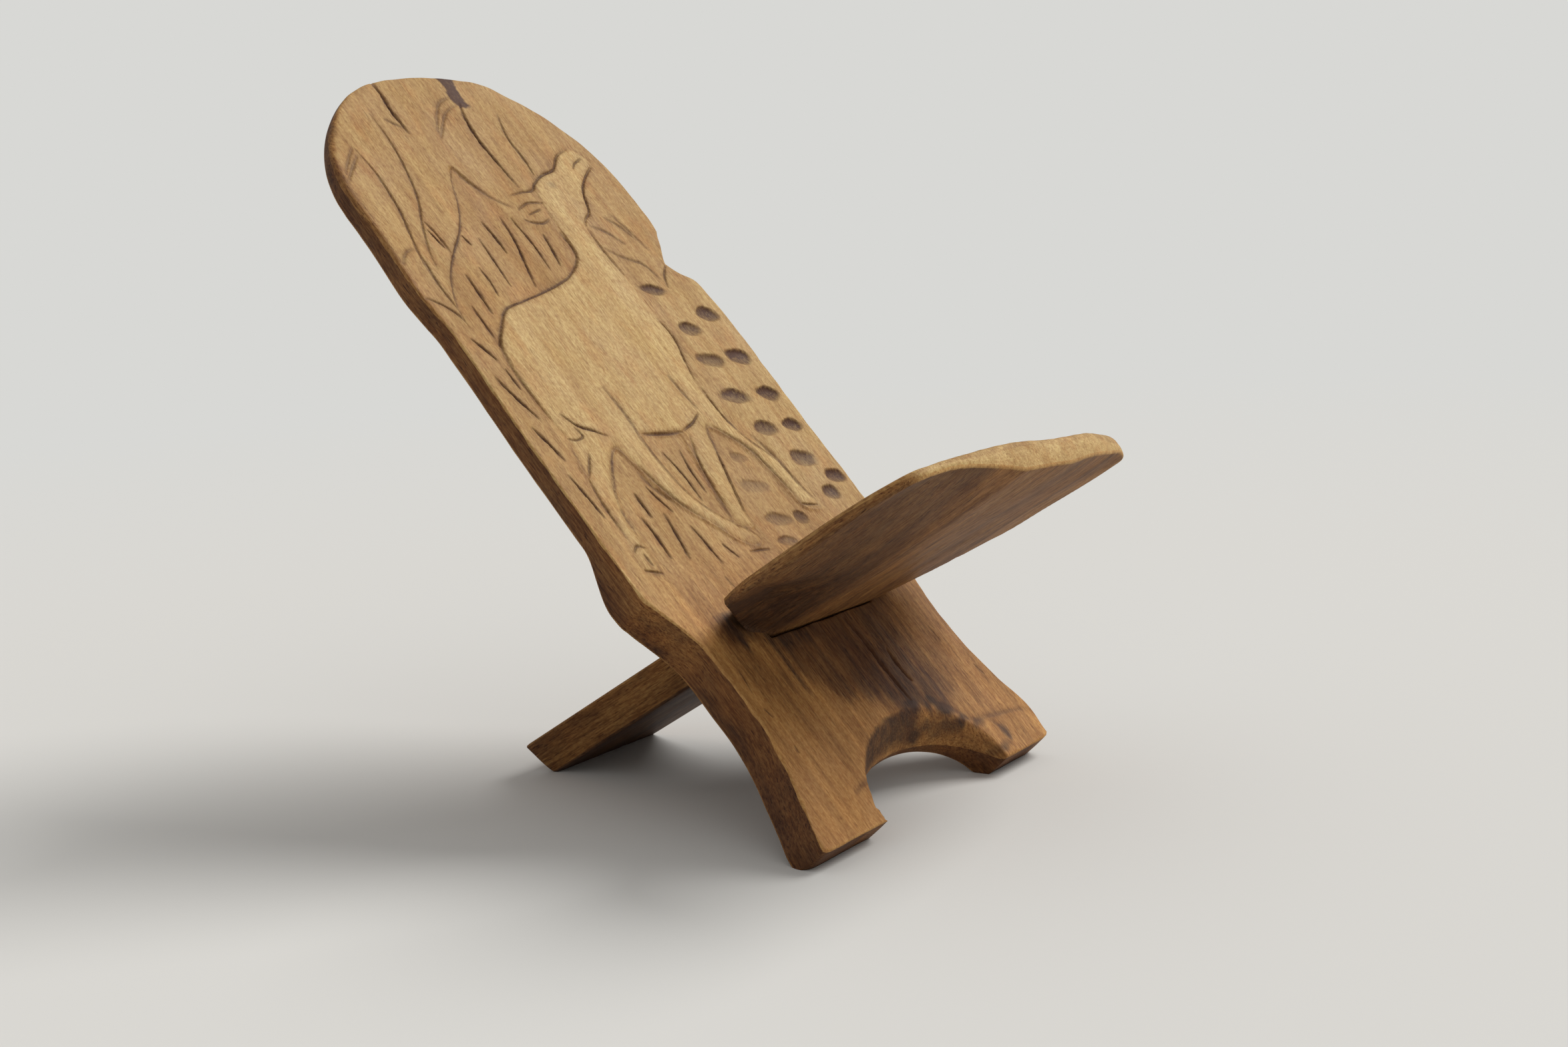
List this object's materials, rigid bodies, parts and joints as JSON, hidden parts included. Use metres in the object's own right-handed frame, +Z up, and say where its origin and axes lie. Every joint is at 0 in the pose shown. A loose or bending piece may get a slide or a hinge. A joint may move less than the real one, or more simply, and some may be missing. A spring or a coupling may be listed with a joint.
{
  "type": "birthing chair",
  "caption": "Low reclining birthing chair of crossed hardwood planks: a leaning carved back with an arch between its feet, and a seat whose tongue plugs through it.",
  "frame": {"origin": "on the floor, under the centre of the bounding box", "axes": "+Z up; the chair faces -Y, so the person sits looking along -Y; +X is across the chair, on the side of the deep notch"},
  "size_m": [0.308, 0.5204, 0.4888],
  "materials": {
    "carved_wood": "satin",
    "plain_wood": "satin"
  },
  "bodies": {
    "back_plank": {"back_plank": "carved_wood"},
    "seat_plank": {"seat_plank": "plain_wood"}
  },
  "joints": [
    {"name": "seat_slide", "type": "slide", "parent": "back_plank", "child": "seat_plank", "axis": [0, -0.859, 0.512], "range_m": [0, 0.23]}
  ]
}
